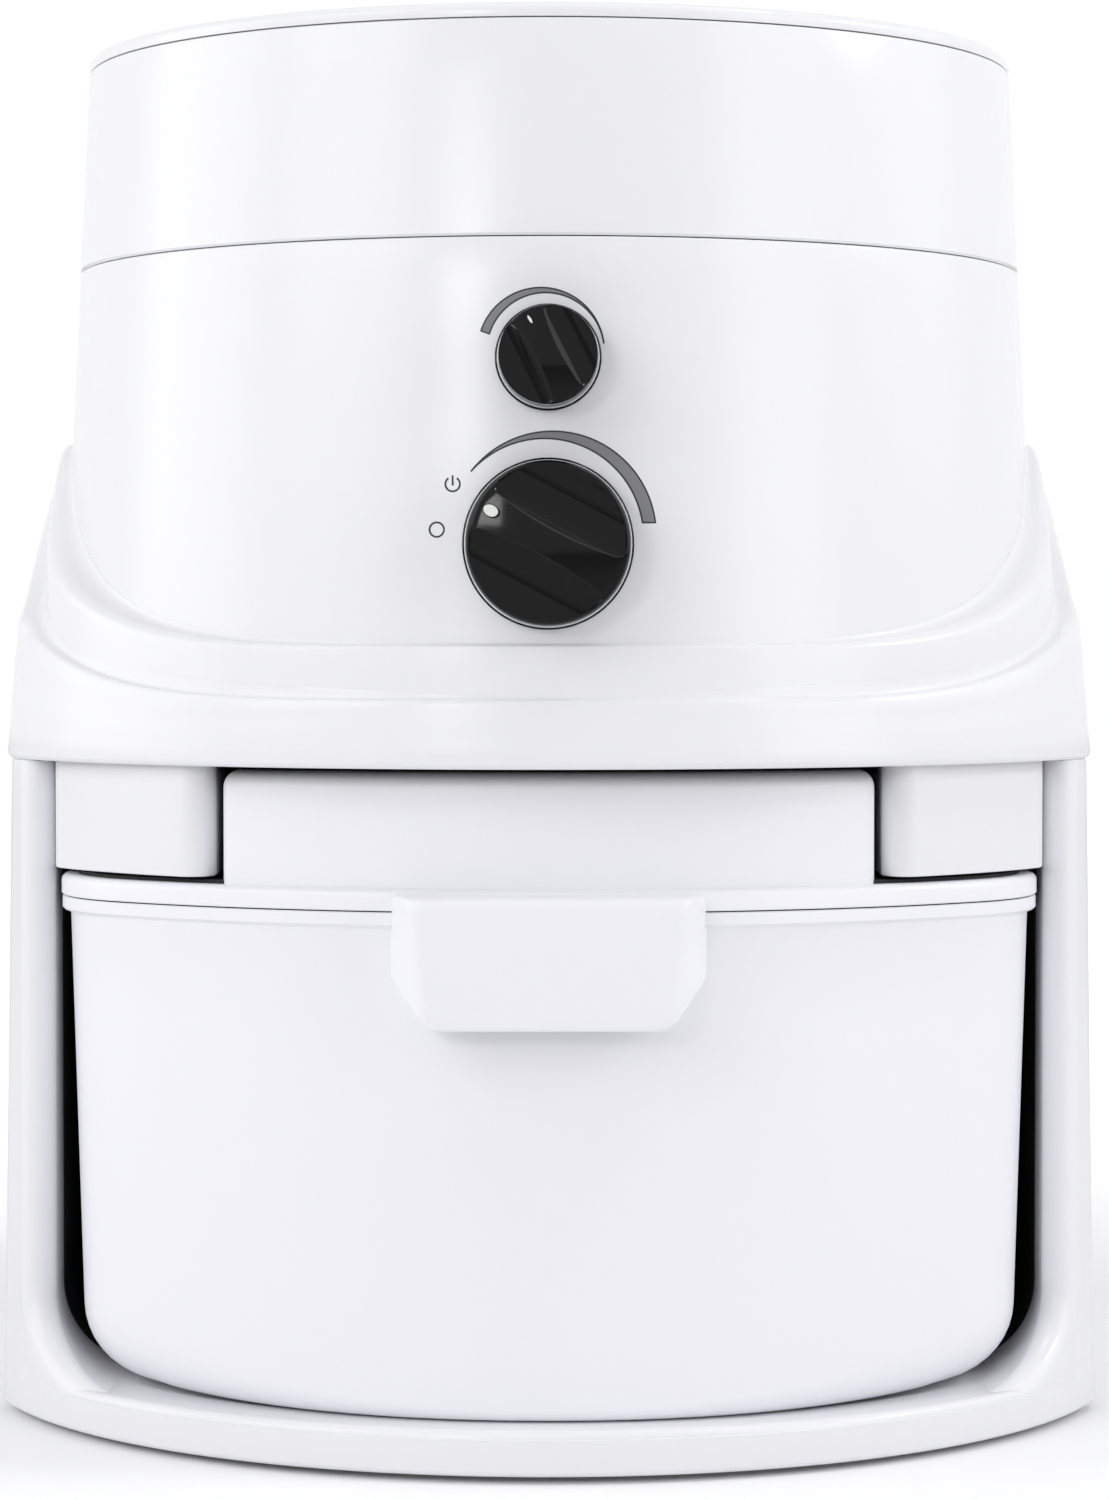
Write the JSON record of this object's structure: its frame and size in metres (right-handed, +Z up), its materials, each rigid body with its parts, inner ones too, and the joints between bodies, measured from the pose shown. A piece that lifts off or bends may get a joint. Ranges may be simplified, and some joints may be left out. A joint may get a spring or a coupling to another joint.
{
  "type": "electric grain mill",
  "caption": "Countertop electric grain mill with a telescoping round hopper, two front knobs, pin mill and motor, and a slide-out flour bowl in a bay between pillars.",
  "frame": {"origin": "centre of the footprint at the level the rubber feet stand on", "axes": "+X to the viewer's right in front of the mill, +Y from the knobs to the back, +Z up along the hopper's axis"},
  "size_m": [0.247, 0.273, 0.3065],
  "materials": {
    "white_shell": "glossy moulded ABS",
    "dark_plastic": "fine matt",
    "chamber_plastic": "satin",
    "knob_black": "polished",
    "mark_white": "printed",
    "rubber": "matt",
    "screw_steel": "bright plated steel",
    "mill_steel": "turned stainless steel",
    "core_steel": "stacked lamination steel",
    "bracket_aluminium": "cast",
    "copper": "enamelled copper",
    "carbon": "pressed carbon",
    "foam": "open-cell foam",
    "board_green": "solder resist"
  },
  "bodies": {
    "frame": {"base_frame": "white_shell", "bay_liner": "dark_plastic", "bottom_plate": "dark_plastic", "rubber_feet": "rubber", "foot_screws": "screw_steel", "rear_cover": "white_shell", "rear_cover_screws": "screw_steel", "cord_gland": "dark_plastic", "housing_shell": "white_shell", "housing_floor": "dark_plastic", "housing_screws": "screw_steel", "guide_blocks": "white_shell", "hopper_funnel": "white_shell", "funnel_posts": "dark_plastic", "chamber_body": "chamber_plastic", "chamber_gasket": "rubber", "chamber_cover": "chamber_plastic", "chamber_screws": "screw_steel", "fixed_head": "mill_steel", "stator_core": "core_steel", "field_coils": "copper", "motor_brackets": "bracket_aluminium", "ball_bearings": "mill_steel", "carbon_brushes": "carbon", "brush_holders": "copper", "vibration_mounts": "rubber", "flour_chute": "chamber_plastic", "chute_gasket": "rubber", "panel_bushings": "dark_plastic", "speed_control": "dark_plastic", "feed_bracket": "dark_plastic", "start_switch": "dark_plastic", "control_board": "board_green"},
    "rotor": {"motor_shaft": "mill_steel", "armature": "core_steel", "commutator": "copper", "cooling_fan": "dark_plastic", "moving_head": "mill_steel", "head_nut": "screw_steel"},
    "feed_drive": {"feed_knob": "knob_black", "feed_pointer": "mark_white", "feed_shaft": "mill_steel", "feed_pinion": "chamber_plastic", "switch_cam": "chamber_plastic"},
    "feed_gate": {"feed_rack": "chamber_plastic", "feed_cone": "chamber_plastic"},
    "speed_drive": {"speed_knob": "knob_black", "speed_pointer": "mark_white", "speed_shaft": "mill_steel"},
    "hopper": {"hopper_extension": "white_shell"},
    "hopper_cover": {"hopper_lid": "white_shell"},
    "flour_bowl": {"bowl": "white_shell", "bowl_handle": "white_shell", "bowl_lid": "white_shell", "lid_gasket": "rubber", "filter_cup": "chamber_plastic", "foam_filter": "foam", "filter_cap": "chamber_plastic", "separator_cup": "chamber_plastic", "deck_seal": "rubber"}
  },
  "joints": [
    {"name": "rotor_spin", "type": "hinge", "parent": "frame", "child": "rotor", "pos_m": [0, -0.0115, 0.18], "axis": [0, 0, 1], "continuous": true},
    {"name": "feed_knob_turn", "type": "hinge", "parent": "frame", "child": "feed_drive", "pos_m": [0, -0.11, 0.1943], "axis": [0, 1, 0], "range_deg": [-24, 138]},
    {"name": "feed_gate_lift", "type": "slide", "parent": "frame", "child": "feed_gate", "axis": [0, 0, 1], "range_m": [-0.01205, 0.0021]},
    {"name": "speed_knob_turn", "type": "hinge", "parent": "frame", "child": "speed_drive", "pos_m": [0, -0.115, 0.2327], "axis": [0, 1, 0], "range_deg": [-50, 97]},
    {"name": "hopper_extend", "type": "slide", "parent": "frame", "child": "hopper", "axis": [0, 0, 1], "range_m": [0, 0.042]},
    {"name": "hopper_lid_lift", "type": "slide", "parent": "hopper", "child": "hopper_cover", "axis": [0, 0, 1], "range_m": [0, 0.06]},
    {"name": "bowl_slide", "type": "slide", "parent": "frame", "child": "flour_bowl", "axis": [0, -1, 0], "range_m": [0, 0.22]}
  ],
  "couplings": [
    {"joint": "feed_gate_lift", "follows": "feed_knob_turn", "m_per_rad": -0.005}
  ]
}
